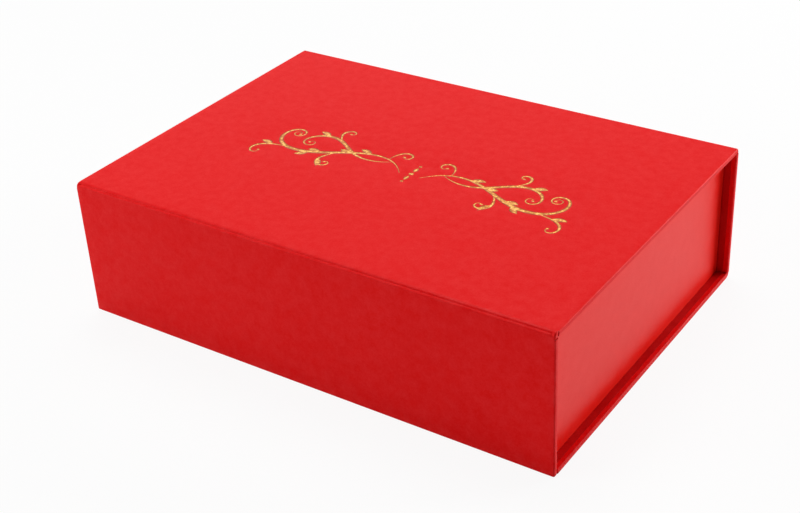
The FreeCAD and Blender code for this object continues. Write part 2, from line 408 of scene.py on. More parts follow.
# %% A slab's skin, open where it meets a fold
def slab_skin(low, high, open_sides, skip, more):
    """Points and quads of a rounded slab. open_sides and skip decide what is left out."""
    low, high = np.array(low, float), np.array(high, float)
    core_low, core_high = low + ARRIS, high - ARRIS
    for axis, side in open_sides:
        if side < 0:
            core_low[axis] = low[axis]
        else:
            core_high[axis] = high[axis]
    lines = [grid_lines(low[a], high[a], ARRIS, GRID_PITCH, more.get(a, ())) for a in range(3)]
    points, faces = [], []
    for axis in range(3):
        a, b = [other for other in range(3) if other != axis]
        for side, level in ((-1, low[axis]), (1, high[axis])):
            if (axis, side) in open_sides:
                continue
            first = len(points)
            for u in lines[a]:
                for v in lines[b]:
                    point = [0.0, 0.0, 0.0]
                    point[axis], point[a], point[b] = level, u, v
                    points.append(point)
            count = len(lines[b])
            turn = (side > 0) == (axis != 1)
            for i in range(len(lines[a]) - 1):
                for j in range(count - 1):
                    middle = [0.0, 0.0, 0.0]
                    middle[axis] = level
                    middle[a] = (lines[a][i] + lines[a][i + 1]) / 2
                    middle[b] = (lines[b][j] + lines[b][j + 1]) / 2
                    if skip(axis, side, middle):
                        continue
                    k = first + i * count + j
                    quad = (k, k + count, k + count + 1, k + 1)
                    faces.append(quad if turn else quad[::-1])
    return rounded(points, core_low, core_high, ARRIS), faces


# %% [markdown]
# The four panels differ only in which way they face and which of their sides run into a fold.
# The turned-in paper makes a frame on the inner face, so the skip rule leaves a window there,
# up to the fold sides.

# %% Describe the four panels
PANELS = {
    "base": {"body": "tray", "out": (2, -1), "across": 1, "folds": (1,)},
    "spine": {"body": "tray", "out": (1, 1), "across": 2, "folds": (-1, 1)},
    "lid": {"body": "lid", "out": (2, 1), "across": 1, "folds": (-1, 1)},
    "flap": {"body": "flap", "out": (1, -1), "across": 2, "folds": (1,)},
}


def panel_window(panel, low, high):
    """Range of the window in the turned-in paper, along the panel's own two axes."""
    across = panel["across"]
    window = {0: (low[0] + TURN_IN, high[0] - TURN_IN)}
    near = low[across] if -1 in panel["folds"] else low[across] + TURN_IN
    far = high[across] if 1 in panel["folds"] else high[across] - TURN_IN
    window[across] = (near, far)
    return window


for name, panel in PANELS.items():
    print(name, "window:", panel_window(panel, *node_box(f"{name}_wrap")))

# %% [markdown]
# A board is cut with a blade that bruises its edges, so the outer face rolls down by a hair just
# before the arris. It is far too little to measure by eye, yet it gives the soft lighter band
# that runs along the ends of a covered board.

# %% Roll the outer face down towards the ends
END_DROP = 0.12
DROP_REACH = 5.0
DROP_LINES = (1.0, 2.0, 3.0, 4.0, 5.0)


def roll_down(points, low, high, panel):
    """Lower the outer half of a panel's skin near its two ends."""
    out_axis, out_side = panel["out"]
    outer = high[out_axis] if out_side > 0 else low[out_axis]
    outer_half = np.abs(points[:, out_axis] - outer) < (high[out_axis] - low[out_axis]) / 2
    from_end = np.minimum(points[:, 0] - low[0], high[0] - points[:, 0])
    drop = END_DROP * np.clip(1 - from_end / DROP_REACH, 0, 1) ** 2
    points[:, out_axis] -= out_side * drop * outer_half
    return points


print("The faces roll down by", END_DROP, "mm over", DROP_REACH, "mm.")


# %% Skin one panel, with an optional hole for the pressed ornament
def panel_skin(name, hole=None):
    """Points and faces of a panel's covering paper."""
    panel = PANELS[name]
    low, high = node_box(f"{name}_wrap")
    out_axis, out_side = panel["out"]
    across = panel["across"]
    window = panel_window(panel, low, high)
    open_sides = [(across, side) for side in panel["folds"]]

    def skip(axis, side, middle):
        if axis != out_axis:
            return False
        opening = hole if side == out_side else window
        return bool(opening) and all(a < middle[k] < b for k, (a, b) in opening.items())

    more = {axis: list(limits) for axis, limits in window.items()}
    more[0] += [low[0] + ARRIS + v for v in DROP_LINES]
    more[0] += [high[0] - ARRIS - v for v in DROP_LINES]
    if hole:
        for axis, limits in hole.items():
            more[axis] += limits
    points, faces = slab_skin(low, high, open_sides, skip, more)
    return roll_down(points, low, high, panel), faces


for name in ("base", "spine", "flap"):
    points, faces = panel_skin(name)
    skin = add_piece(f"{name}_covering", points, faces, PAPER)
    dress(skin, PANELS[name]["body"], covering, [f"{name}_wrap"])

# %% [markdown]
# Many skins are rows of points, each row as long as the last, such as a section swept along the
# box. The faces between the rows come from one helper. The order of a face's points decides which
# way it looks, so the helper can turn them all round.

# %% A helper that joins rows of points into faces
def grid_faces(rows, columns, turned=False):
    """Quads between rows of points that all have the same length."""
    faces = []
    for i in range(rows - 1):
        for j in range(columns - 1):
            k = i * columns + j
            above = k + columns
            faces.append((k, above, above + 1, k + 1) if turned else (k, k + 1, above + 1, above))
    return faces


print("Two rows of three points make", grid_faces(2, 3))

# %% [markdown]
# Along a fold the board's long edge isn't wrapped by the covering paper. The lining is pressed
# over its arris into the gap and hides the grey board there. It is a strip of its own here, so
# that it can ride with its board when the fold opens. Its ends draw in just as the covered
# board's own corners do.

# %% Section of the paper over a long edge
EDGE_STANDS_OUT = 0.12
EDGE_TOP = 0.35
EDGE_FOOT = 0.1
EDGE_ROWS = 7
EDGE_TURN = [(0.072, 0.09), (-0.1, 0.165), (-0.6, 0.1725)]


def edge_profile(thickness):
    """How far each point stands out from the board's edge, and its depth under the outer face."""
    depths = np.linspace(EDGE_TOP, thickness - EDGE_FOOT, EDGE_ROWS)
    over_edge = [(EDGE_STANDS_OUT, depth) for depth in depths]
    return over_edge + [(stand, thickness + past) for stand, past in EDGE_TURN]


print("Points over an edge 3 mm thick:", len(edge_profile(3.0)))

# %% Sweep it along each long edge that faces a fold
EDGE_STATIONS = 41


def edge_strip(panel, side, low, high):
    """Points and faces of the strip over one long edge of a panel."""
    out_axis, out_side = panel["out"]
    across = panel["across"]
    outer = high[out_axis] if out_side > 0 else low[out_axis]
    plane = high[across] if side > 0 else low[across]
    thickness = high[out_axis] - low[out_axis]
    points = []
    for stand, depth in edge_profile(thickness):
        near_face = min(max(min(depth, thickness - depth), 0.0), ARRIS)
        inset = ARRIS - math.sqrt(ARRIS ** 2 - (ARRIS - near_face) ** 2)
        for share in np.linspace(-1, 1, EDGE_STATIONS):
            point = [share * (high[0] - PAPER / 2 - inset), 0.0, 0.0]
            point[across] = plane + side * stand
            point[out_axis] = outer - out_side * depth
            points.append(point)
    turned = (side * out_side > 0) == (out_axis == 1)
    return points, grid_faces(len(points) // EDGE_STATIONS, EDGE_STATIONS, turned)


SIDE_NAMES = {
    ("base", 1): "base_back",
    ("spine", -1): "spine_foot",
    ("spine", 1): "spine_top",
    ("lid", 1): "lid_back",
    ("lid", -1): "lid_front",
    ("flap", 1): "flap_top",
}
for (name, side), label in SIDE_NAMES.items():
    points, faces = edge_strip(PANELS[name], side, *node_box(f"{name}_wrap"))
    strip = add_piece(f"{label}_edge_paper", points, faces, HALF_PAPER)
    dress(strip, PANELS[name]["body"], lining)

# %% [markdown]
# ## The pressed ornament
#
# Foil is stamped with a hot brass die that pushes the paper down a tenth of a millimetre. The
# ornament is a plain penman's flourish. Its strokes are spirals whose bend changes evenly along
# the way, which is how a pen moves, so each stroke is only a start, a heading and a few lengths
# with the bend at each end. The pen's pressure swells each stroke in its middle.

# %% A pen that draws one stroke
PEN_STEP = 0.7
LEAST_STEPS = 3
THIN = 0.28
PRESSURE = 1.45
SWELL_POWER = 1.5
DOT_POINTS = 9


def pen_stroke(start, heading, bends, swell):
    """Places, half widths and headings along a stroke. bends are (length, first, last bend)."""
    place, angle = np.array(start, float), math.radians(heading)
    places, headings = [place], [angle]
    for length, first, last in bends:
        steps = max(LEAST_STEPS, round(length / PEN_STEP))
        for k in range(steps):
            angle += (first + (last - first) * (k + 0.5) / steps) * length / steps
            place = place + np.array([math.cos(angle), math.sin(angle)]) * length / steps
            places.append(place)
            headings.append(angle)
    along = np.linspace(0, 1, len(places))
    half_widths = THIN + (swell * PRESSURE - THIN) * np.sin(math.pi * along) ** SWELL_POWER
    return np.array(places), half_widths, headings


def pen_dot(middle, radius):
    """A round dot, as a short stroke whose half width follows a circle."""
    across = np.linspace(-1, 1, DOT_POINTS)
    places = np.column_stack([middle[0] + across * radius, np.full(DOT_POINTS, middle[1])])
    return places, radius * np.sqrt(np.clip(1 - across ** 2, 0, 1)), [0.0] * DOT_POINTS


print("Points in a stroke 20 mm long:", len(pen_stroke((0, 0), 0, [(20, 0, 0)], 1.0)[0]))

# %% [markdown]
# Branches grow out of a stroke that is already drawn: each names its parent, how far along the
# parent it starts and by how much it turns away, and then its pressure and its bends. That keeps
# every curl joined to its stem, as they would be on paper. Leaves are short strokes on either
# side of a stem. Only the right half is listed, and the left half is its reflection.

# %% Plan the flourish
STEM_START = (7.0, -3.0)
STEMS = {
    "stem": (None, 0, 50, 1.15, [(18, -0.01, -0.05), (36, -0.045, 0), (30, 0, 0.04), (28, 0.045, 0.09),
                                 (22, 0.12, 0.3), (11, 0.3, 0.55)]),
    "under": ("stem", 0.10, -62, 1.0, [(28, 0.03, 0.045), (20, 0.03, -0.03), (24, -0.05, -0.09),
                                       (14, -0.12, -0.3), (8, -0.3, -0.6)]),
    "top": ("under", 0.50, 22, 0.7, [(8, -0.01, 0.06), (12, 0.1, 0.3), (6, 0.34, 0.7)]),
    "back": ("stem", 0.13, 72, 0.6, [(10, 0.04, 0.09), (14, 0.12, 0.36), (4, 0.36, 0.6)]),
    "low": ("stem", 0.36, -22, 0.75, [(12, -0.01, -0.07), (14, -0.1, -0.26), (7, -0.3, -0.6)]),
    "far": ("stem", 0.60, -20, 0.7, [(14, 0, -0.05), (14, -0.06, -0.2), (8, -0.25, -0.5)]),
}
LEAVES = [("stem", 0.22, 1), ("stem", 0.44, 1), ("stem", 0.49, -1), ("under", 0.32, -1),
          ("under", 0.62, 1), ("far", 0.3, 1), ("low", 0.42, -1)]
LEAF_TURN, LEAF_LENGTH, LEAF_BEND, LEAF_SWELL = 46, 9.0, 0.07, 1.5
BALL = 0.85
JEWELS = [((0, -1), 1.5), ((0, 9), 1.0), ((0, -11), 1.0)]
TICKS = [((0, 1.7), 90), ((0, -3.7), -90)]
TICK_LENGTH = 5.0
print("Stems and leaves in one half:", len(STEMS), len(LEAVES))

# %% Draw the flourish
drawn = {}
for name, (parent, share, turn, swell, bends) in STEMS.items():
    start, heading = STEM_START, 0.0
    if parent:
        places, _, headings = drawn[parent]
        k = round(share * (len(places) - 1))
        start, heading = places[k], math.degrees(headings[k])
    drawn[name] = pen_stroke(start, heading + turn, bends, swell)
half = list(drawn.values())
half += [pen_dot(stroke[0][-1], BALL) for stroke in drawn.values()]
for parent, share, side in LEAVES:
    places, _, headings = drawn[parent]
    k = round(share * (len(places) - 1))
    heading = math.degrees(headings[k]) + side * LEAF_TURN
    bends = [(LEAF_LENGTH, -side * LEAF_BEND, -side * LEAF_BEND)]
    half.append(pen_stroke(places[k], heading, bends, LEAF_SWELL))
strokes = [(places * np.array([side, 1]), widths) for places, widths, _ in half for side in (1, -1)]
strokes += [pen_dot(middle, radius)[:2] for middle, radius in JEWELS]
strokes += [pen_stroke(start, heading, [(TICK_LENGTH, 0, 0)], 1.0)[:2] for start, heading in TICKS]
print("Strokes:", len(strokes))

# %% [markdown]
# The die's mark has to be part of the lid's paper. A constrained triangulation does that: it
# takes the outlines of the strokes, each a little wider than the foil, and fills the rectangle
# round them with triangles that never cross an outline. The depth of each point then follows
# from how far it lies from the middle of the nearest stroke: wide strokes go deeper, and outside
# a stroke the paper rises back to its face over a narrow margin.

# %% Find a point's depth in the mark
MARK_MARGIN = 0.3
MARK_EDGE = 0.03
MARK_DEPTH = 0.13
MARK_SLOPE = 0.2
LEAST_WIDTH = 0.01
ORNAMENT_PLACE = np.array([8.0, -7.0])


def mark_shape(points):
    """How far each point lies beyond the nearest stroke's edge, and the mark's depth there."""
    points = np.asarray(points, float)
    share = np.full(len(points), np.inf)
    beyond = np.full(len(points), np.inf)
    deep = np.zeros(len(points))
    for places, widths in strokes:
        places = places + ORNAMENT_PLACE
        starts, ends = places[:-1], places[1:]
        runs = ends - starts
        offset = points[:, None, :] - starts[None]
        t = np.clip((offset * runs).sum(2) / (runs ** 2).sum(1), 0, 1)
        distance = np.linalg.norm(offset - t[..., None] * runs, axis=2)
        width = np.maximum(widths[:-1] + (widths[1:] - widths[:-1]) * t, LEAST_WIDTH)
        nearest = np.argmin(distance - width, axis=1)
        pick = np.arange(len(points)), nearest
        closer = (distance - width)[pick] < beyond
        beyond = np.where(closer, (distance - width)[pick], beyond)
        share = np.where(closer, (distance / width)[pick], share)
        deep = np.where(closer, np.minimum(MARK_DEPTH, MARK_EDGE + MARK_SLOPE * width[pick]), deep)
    inside = MARK_EDGE + (deep - MARK_EDGE) * (1 - np.clip(share, 0, 1) ** 2)
    outside = MARK_EDGE * np.clip(1 - beyond / MARK_MARGIN, 0, 1)
    return beyond, np.where(beyond <= 0, inside, outside)


print("Depth at the ornament's middle:", mark_shape([ORNAMENT_PLACE + JEWELS[0][0]])[1].round(3))


# %% Outline the strokes
def stroke_outline(places, widths, margin):
    """A closed outline round a stroke."""
    runs = np.gradient(places, axis=0)
    sides = np.stack([-runs[:, 1], runs[:, 0]], axis=1) / np.linalg.norm(runs, axis=1, keepdims=True)
    reach = (widths + margin)[:, None]
    return np.vstack([places + sides * reach, (places - sides * reach)[::-1]])


middle_points = np.vstack([places + ORNAMENT_PLACE for places, _ in strokes])
print("Points along the strokes:", len(middle_points))

# %% Border of the marked part, on the grid lines of the lid's paper
ROOM_AT_ENDS = 6.0
ROOM_AT_SIDES = 5.0


def lines_in_hole(axis, more=()):
    """The grid lines of the lid's paper that cross or bound the hole along one axis."""
    near, far = hole[axis]
    lines = grid_lines(lid_low[axis], lid_high[axis], ARRIS, GRID_PITCH, [near, far, *more])
    return lines[(lines >= near - WELD) & (lines <= far + WELD)]


lid_low, lid_high = node_box("lid_wrap")
reach_x = abs(middle_points[:, 0]).max() + ROOM_AT_ENDS
low_y = middle_points[:, 1].min() - ROOM_AT_SIDES
high_y = middle_points[:, 1].max() + ROOM_AT_SIDES
hole = {0: (-reach_x, reach_x), 1: (low_y, high_y)}
lines_x = lines_in_hole(0, (lid_low[0] + TURN_IN, lid_high[0] - TURN_IN))
lines_y = lines_in_hole(1)
border = [(x, lines_y[0]) for x in lines_x] + [(lines_x[-1], y) for y in lines_y[1:]]
border += [(x, lines_y[-1]) for x in lines_x[-2::-1]] + [(lines_x[0], y) for y in lines_y[-2:0:-1]]
print("Points on the border:", len(border))


# %% Triangulate the marked part of the lid
PLAN_TOLERANCE = 1e-4


def ring_edges(first, count):
    return [(first + k, first + (k + 1) % count) for k in range(count)]


plan_points, plan_edges = list(border), ring_edges(0, len(border))
for places, widths in strokes:
    placed = places + ORNAMENT_PLACE
    for margin in (MARK_MARGIN, 0.0):
        outline = stroke_outline(placed, widths, margin)
        plan_edges += ring_edges(len(plan_points), len(outline))
        plan_points += [tuple(p) for p in outline]
    plan_edges += [(len(plan_points) + k, len(plan_points) + k + 1) for k in range(len(placed) - 1)]
    plan_points += [tuple(p) for p in placed]
plan = delaunay_2d_cdt([Vector(p) for p in plan_points], plan_edges, [], 0, PLAN_TOLERANCE)
flat, triangles = plan[0], plan[2]
flat = np.array([tuple(p) for p in flat])
triangles = np.array([t for t in triangles if len(t) == 3])
print("Triangles in the marked part:", len(triangles))

# %% Give the mark its depth, and join it to the lid's covering paper
depth = mark_shape(flat)[1]
marked = np.column_stack([flat, lid_high[2] - depth])
lid_points, lid_faces = panel_skin("lid", hole)
first = len(lid_points)
all_points = np.vstack([lid_points, marked])
all_faces = lid_faces + [tuple(int(k) + first for k in t) for t in triangles]
skin = add_piece("lid_covering", all_points, all_faces, HALF_PAPER)
dress(skin, "lid", covering, ["lid_wrap"])

# %% [markdown]
# The foil is a skin of its own on the triangles inside the strokes. It lies a hair above the
# pressed paper and always a little below the lid's own face, so that nothing stands out of the
# mark. Each of its points keeps how deep it is pressed, for the colour of the foil.

# %% Lay the foil in the mark
FOIL = 0.012
FOIL_SINK = 0.02
centres = flat[triangles].mean(axis=1)
foil_triangles = triangles[mark_shape(centres)[0] < 0]
used = sorted(set(foil_triangles.ravel().tolist()))
place_of = {k: n for n, k in enumerate(used)}
foil_points = marked[used] + np.array([0, 0, FOIL])
foil_points[:, 2] = np.minimum(foil_points[:, 2], TOP - FOIL_SINK)
foil_faces = [tuple(place_of[int(k)] for k in t) for t in foil_triangles]
foil = add_piece("lid_foil", foil_points, foil_faces, FOIL * 0.5)
# How deeply each point is pressed sets the foil's painted shade at the edges of a stroke.
flat_places = np.array([tuple(v.co)[:2] for v in foil.data.vertices]) / MM
share_pressed = (mark_shape(flat_places)[1] - MARK_EDGE) / (MARK_DEPTH - MARK_EDGE)
pressed = foil.data.attributes.new("pressed", "FLOAT", "POINT")
pressed.data.foreach_set("value", share_pressed)
dress(foil, "lid", gold)

# %% [markdown]
# ## The folds
#
# Between two boards the paper has to bend alone. Along the spine it leads straight on for a
# moment and then bulges into a quarter round. Over the front it was pressed into the crease while
# the glue was wet: a long soft shoulder falls into a narrow groove, and a second shoulder turns
# down to the flap. Both are sections across the fold, measured back from the corner in which the
# boards' outer faces would meet. The groove is a chain of arcs, each with its radius and the
# heading that it ends on, scaled to fit the gap.

# %% Sections of the two kinds of fold
SETBACK = BACK - node_box("lid_wrap")[1][1]
LEAD = 0.9
FOLD_STEPS = 36
GROOVE_BENDS = [(5.5, 20), (0.7, 86), (0.5, -20), (1.0, 90)]
FLAT_START = 0.05


def arc_points(centre, radius, start, end, steps):
    """Points on an arc, with its angles in degrees."""
    angles = np.radians(np.linspace(start, end, steps))
    xs = centre[0] + radius * np.cos(angles)
    ys = centre[1] + radius * np.sin(angles)
    return np.column_stack([xs, ys])


def plain_section():
    """Quarter round from one board to the other."""
    radius = SETBACK - LEAD
    bend = arc_points((radius, radius), radius, 270, 180, FOLD_STEPS)
    return np.vstack([[(SETBACK, 0.0)], bend, [(0.0, SETBACK)]])


def dipped_section():
    """A soft shoulder, a fall, a groove and a second shoulder: arcs that run on from each other."""
    heading = 0.0
    place = np.zeros(2)
    points = [place]
    steps = FOLD_STEPS // len(GROOVE_BENDS)
    for radius, reached in GROOVE_BENDS:
        stride = radius * math.radians(abs(reached - heading)) / steps
        for k in range(steps):
            angle = math.radians(heading + (reached - heading) * (k + 0.5) / steps)
            place = place + np.array([-math.cos(angle), math.sin(angle)]) * stride
            points.append(place)
        heading = reached
    fit = (SETBACK - FLAT_START) / -place[0]
    points = (np.array(points) + (-place[0], 0.0)) * fit
    return np.vstack([[(SETBACK, 0.0)], points, [(0.0, SETBACK)]])


def resampled(curve, count):
    """The curve with another number of points, spread evenly over its own."""
    places, own_places = np.linspace(0, 1, count), np.linspace(0, 1, len(curve))
    return np.column_stack([np.interp(places, own_places, curve[:, k]) for k in (0, 1)])


print("Setback of the boards from the corner:", round(SETBACK, 3))

# %% [markdown]
# A fold is a section swept along the box, so each station can have its own section. Close to the
# ends of the box the groove fades into the plain round, and over the last millimetre the sheet
# curls over and is tucked in between the boards, as the paper's turned-in ends are. A hand pressed
# the groove, so its depth changes a little along the way.

# %% Stations along a fold
GROOVE_FADES = 2.0
FADE_STATIONS = 9
MIDDLE_START, MIDDLE_END = 9.0, 8.0
STATION_PITCH = 4.0
CURL = 0.8
CURL_STEPS = 5
TUCK_DEPTH = 3.2
TUCK_LEAN = 0.3
TUCK_SHARES = (0.5, 1.0)


def fold_stations(half):
    """Places along a fold with the sheet's depth there: at each end it curls over and tucks in."""
    straight = half - CURL
    near_end = np.linspace(0, GROOVE_FADES, FADE_STATIONS)
    turned = []
    for angle in np.linspace(0, math.pi / 2, CURL_STEPS + 1)[1:]:
        turned.append((straight + CURL * math.sin(angle), CURL * (1 - math.cos(angle))))
    for share in TUCK_SHARES:
        turned.append((half - TUCK_LEAN * share, CURL + (TUCK_DEPTH - CURL) * share))
    between = np.arange(MIDDLE_START - straight, straight - MIDDLE_END, STATION_PITCH)
    level = np.concatenate([-straight + near_end, between, straight - near_end[::-1]])
    far_end = [(-x, deep) for x, deep in turned[::-1]]
    return far_end + [(x, 0.0) for x in level] + turned


print("Stations along a fold 320 mm long:", len(fold_stations(160.0)))


# %% Sweep a section along its stations
HAND_WAVE = 22.0
HAND_SHARE = 0.12


def smooth(value):
    """0 to 1 with a soft start and a soft end."""
    value = np.clip(value, 0, 1)
    return value * value * (3 - 2 * value)


def pushed_in(section, depth):
    """The section moved inwards, square to itself."""
    run = np.gradient(section, axis=0)
    inward = np.column_stack([run[:, 1], -run[:, 0]]) / np.linalg.norm(run, axis=1, keepdims=True)
    return section + inward * depth


def fold_skin(section, plain, corner, first, second, half, seed):
    """Points and faces of a fold strip. first and second point back along the two boards."""
    stations = fold_stations(half)
    points = []
    for x, deep in stations:
        ease = 0.0 if deep else smooth((half - CURL - abs(x)) / GROOVE_FADES)
        wander = 1 + HAND_SHARE * noise.noise(Vector((x / HAND_WAVE, seed, 0)))
        share = np.clip(ease * wander, 0, 1)
        for p, q in pushed_in(plain + (section - plain) * share, deep):
            points.append(corner + np.array([x, 0, 0]) + np.array(first) * p + np.array(second) * q)
    return points, grid_faces(len(stations), len(section))


half_fold = node_box("lid_fold")[1][0]
print("A fold reaches to x =", round(half_fold, 2))

# %% [markdown]
# The fold at the base can't move, because the tray is glued to both of its boards. The other two
# cross a hinge, and here they are left without a body.

# %% Make the three folds
FOLD_PAPER = 2 * PAPER
FOLDS = {
    "base_fold": ((0, BACK, 0.0), (0, -1, 0), (0, 0, 1)),
    "lid_fold": ((0, BACK, TOP), (0, 0, -1), (0, -1, 0)),
    "flap_fold": ((0, FRONT, TOP), (0, 1, 0), (0, 0, -1)),
}

for seed, (name, (corner, first, second)) in enumerate(FOLDS.items()):
    section = dipped_section() if name == "flap_fold" else plain_section()
    plain = resampled(plain_section(), len(section))
    points, faces = fold_skin(section, plain, np.array(corner), first, second, half_fold, seed)
    skin = add_piece(f"{name}_paper", points, faces, FOLD_PAPER)
    dress(skin, "tray" if name == "base_fold" else None, covering, [name])
    if name == "lid_fold":
        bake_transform(skin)
    if name == "flap_fold":
        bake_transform(skin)

# %% [markdown]
# ## The tray's covering paper
#
# The tray is wrapped round its walls, over the rim and down inside. A section of the wall goes
# round a rounded rectangle: each point of the section says how far in from the outer face it
# lies and how high, and the rectangle shrinks by that much, corners and all.

# %% Loops round the tray
TRAY_ROUND = 1.2
SHARP_CORNER = 0.02
CORNER_STEPS = 7
WALL_PARTS = 20
tray_low, tray_high = node_box("tray_wrap")


def tray_loop(inset, height, corner_round):
    """Points of a rounded rectangle inside the tray's outer faces."""
    radius = max(corner_round, SHARP_CORNER)
    x0, x1 = tray_low[0] + inset + radius, tray_high[0] - inset - radius
    y0, y1 = tray_low[1] + inset + radius, tray_high[1] - inset - radius
    ring = []
    for (cx, cy), start in zip(((x1, y0), (x1, y1), (x0, y1), (x0, y0)), (-90, 0, 90, 180)):
        ring += [tuple(p) for p in arc_points((cx, cy), radius, start, start + 90, CORNER_STEPS)]
    dense = []
    for k, (x, y) in enumerate(ring):
        next_x, next_y = ring[(k + 1) % len(ring)]
        parts = WALL_PARTS if (k + 1) % CORNER_STEPS == 0 else 1
        for s in range(parts):
            dense.append((x + (next_x - x) * s / parts, y + (next_y - y) * s / parts, height))
    return dense


def loops_skin(loops):
    """Join loops of equal length into a band of quads."""
    count = len(loops[0])
    points = [p for loop in loops for p in loop]
    faces = []
    for i in range(len(loops) - 1):
        for j in range(count):
            k, n = i * count + j, i * count + (j + 1) % count
            faces.append((k, n, n + count, k + count))
    return points, faces


print("Points in one loop:", len(tray_loop(0, 0, TRAY_ROUND)))

# %% Section of the tray's wall: how far in, how high, and the radius of the loop's corners
TRAY_BOARD = 2.0
FOOT_ROUND = 0.45
RIM_ROUND = 0.5
QUARTER = np.radians(np.linspace(0, 90, ARC_STEPS + 1))
WALL_ROWS = 9
WALL_MARGIN = 8.0

wall = TRAY_BOARD + 2 * PAPER
foot, rim = tray_low[2], tray_high[2]
section = [(TURN_IN, foot, SHARP_CORNER)]
for a in QUARTER:
    inset = FOOT_ROUND * (1 - math.sin(a))
    section.append((inset, foot + FOOT_ROUND * (1 - math.cos(a)), TRAY_ROUND - inset))
for height in np.linspace(foot + WALL_MARGIN, rim - WALL_MARGIN, WALL_ROWS):
    section.append((0.0, height, TRAY_ROUND))
for a in QUARTER:
    inset = RIM_ROUND * (1 - math.cos(a))
    section.append((inset, rim - RIM_ROUND * (1 - math.sin(a)), TRAY_ROUND - inset))
for a in QUARTER:
    inset = wall - RIM_ROUND * (1 - math.sin(a))
    section.append((inset, rim - RIM_ROUND * (1 - math.cos(a)), SHARP_CORNER))
section.append((wall, rim - TURN_IN, SHARP_CORNER))
print("Points in the section:", len(section))

# %% Wrap the tray
points, faces = loops_skin([tray_loop(*part) for part in section])
skin = add_piece("tray_covering", points, faces, GLUED_PAPER)
dress(skin, "tray", tray_paper, ["tray_wrap"])

# %% [markdown]
# ## The lining papers
#
# Sheets glued inside show what lies under them: a step where the turned-in paper ends, and a
# square where a magnet is taped into the board. A lining is a grid of points whose height falls
# by a fraction of a millimetre past those steps. Grid lines lie close together only there.

# %% A lining sheet with its steps
STEP_DROP = 0.1
PATCH_SHARE = 0.6
STEP_SOFT = 1.2
STEP_LINES = np.linspace(-STEP_SOFT, STEP_SOFT, 5)
SHEET_LINES = 24


def lining_sheet(name, out_axis, out_side, window, patches=()):
    """Points and faces of a lining that faces against the panel's outer side."""
    low, high = node_box(f"{name}_liner")
    a, b = [axis for axis in range(3) if axis != out_axis]
    lines = []
    for axis in (a, b):
        near_steps = [v + d for area in (window, *patches) for v in area[axis] for d in STEP_LINES]
        near_steps = [v for v in near_steps if low[axis] < v < high[axis]]
        even_lines = np.linspace(low[axis], high[axis], SHEET_LINES)
        lines.append(np.unique(np.round([*even_lines, *near_steps], 4)))
    face = low[out_axis] if out_side > 0 else high[out_axis]

    def inside(u, v, area):
        """1 inside an area of the sheet, 0 outside it and a soft step between."""
        reach = [(value - area[axis][0], area[axis][1] - value) for axis, value in ((a, u), (b, v))]
        return float(smooth(min(min(pair) for pair in reach) / STEP_SOFT / 2 + 0.5))

    points = []
    for u in lines[0]:
        for v in lines[1]:
            drop = STEP_DROP * inside(u, v, window)
            for patch in patches:
                drop -= PATCH_SHARE * STEP_DROP * inside(u, v, patch)
            point = [0.0, 0.0, 0.0]
            point[a], point[b], point[out_axis] = u, v, face + out_side * drop
            points.append(point)
    turned = (out_side < 0) == (out_axis != 1)
    return points, grid_faces(len(lines[0]), len(lines[1]), turned)


for name, panel in PANELS.items():
    window = panel_window(panel, *node_box(f"{name}_wrap"))
    patches = []
    if name == "flap":
        low, high = node_box("flap_magnet_patches")
        size = high[2] - low[2]
        for start in (low[0], high[0] - size):
            patches.append({0: (start, start + size), 2: (low[2], high[2])})
    points, faces = lining_sheet(name, *panel["out"], window, patches)
    skin = add_piece(f"{name}_lining", points, faces, GLUED_PAPER)
    dress(skin, panel["body"], lining, [f"{name}_liner"])

# %% [markdown]
# Inside the tray the lining is a band round the walls and a sheet on the floor. The band starts a
# little under the rim, and steps back where the covering paper that was turned in behind it ends.
# The floor's sheet runs on under the band, so that no line of board shows between them.

# %% Line the tray's walls
BAND_BEVEL = 0.1
BAND_FOOT = 1.0
wall_low, wall_high = node_box("tray_wall_liner")
face_inset = wall_low[0] - tray_low[0] + 2 * PAPER
step_inset = face_inset - STEP_DROP
step_height = rim - TURN_IN
band = [
    (face_inset - BAND_BEVEL, wall_high[2]),
    (face_inset, wall_high[2] - BAND_BEVEL),
    (face_inset, step_height + STEP_SOFT),
    (face_inset - STEP_DROP / 2, step_height),
    (step_inset, step_height - STEP_SOFT),
    (step_inset, wall_low[2] + BAND_FOOT),
    (face_inset, wall_low[2]),
]
loops = [tray_loop(inset, height, SHARP_CORNER) for inset, height in band]
points, faces = loops_skin(loops)
skin = add_piece("tray_wall_lining", points, faces, PAPER)
dress(skin, "tray", lining, ["tray_wall_liner"])

# %% Line the tray's floor
COLUMNS, ROWS = 30, 22
UNDER_WALL = 0.4
floor_low, floor_high = node_box("tray_floor_liner")
columns = np.linspace(floor_low[0] - UNDER_WALL, floor_high[0] + UNDER_WALL, COLUMNS)
rows = np.linspace(floor_low[1] - UNDER_WALL, floor_high[1] + UNDER_WALL, ROWS)
points = [(x, y, floor_high[2]) for x in columns for y in rows]
skin = add_piece("tray_floor_lining", points, grid_faces(COLUMNS, ROWS, turned=True), PAPER)
dress(skin, "tray", lining, ["tray_floor_liner"])

# %% [markdown]
# ## The pieces inside
#
# Boards, tape and magnets keep the model's own shapes, because those are already right. They
# only need the finishes made above.

# %% Finish the model's own nodes
INSIDE = {"board": greyboard, "stays": kraft_tape, "patches": kraft_tape, "magnets": nickel}
for name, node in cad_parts.items():
    for ending, material in INSIDE.items():
        if name.endswith(ending):
            node.data.materials.clear()
            node.data.materials.append(material)
print("Finished:", [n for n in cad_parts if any(n.endswith(e) for e in INSIDE)])

# %% [markdown]
# ## Table, light and camera
#
# The box stands on a plain white table. Its white comes from its own colour and from a part that
# only camera, mirror and glass rays see, so the box still throws its soft shadow on it. The world
# works the same way: it looks white, and yet it lights the box only faintly.

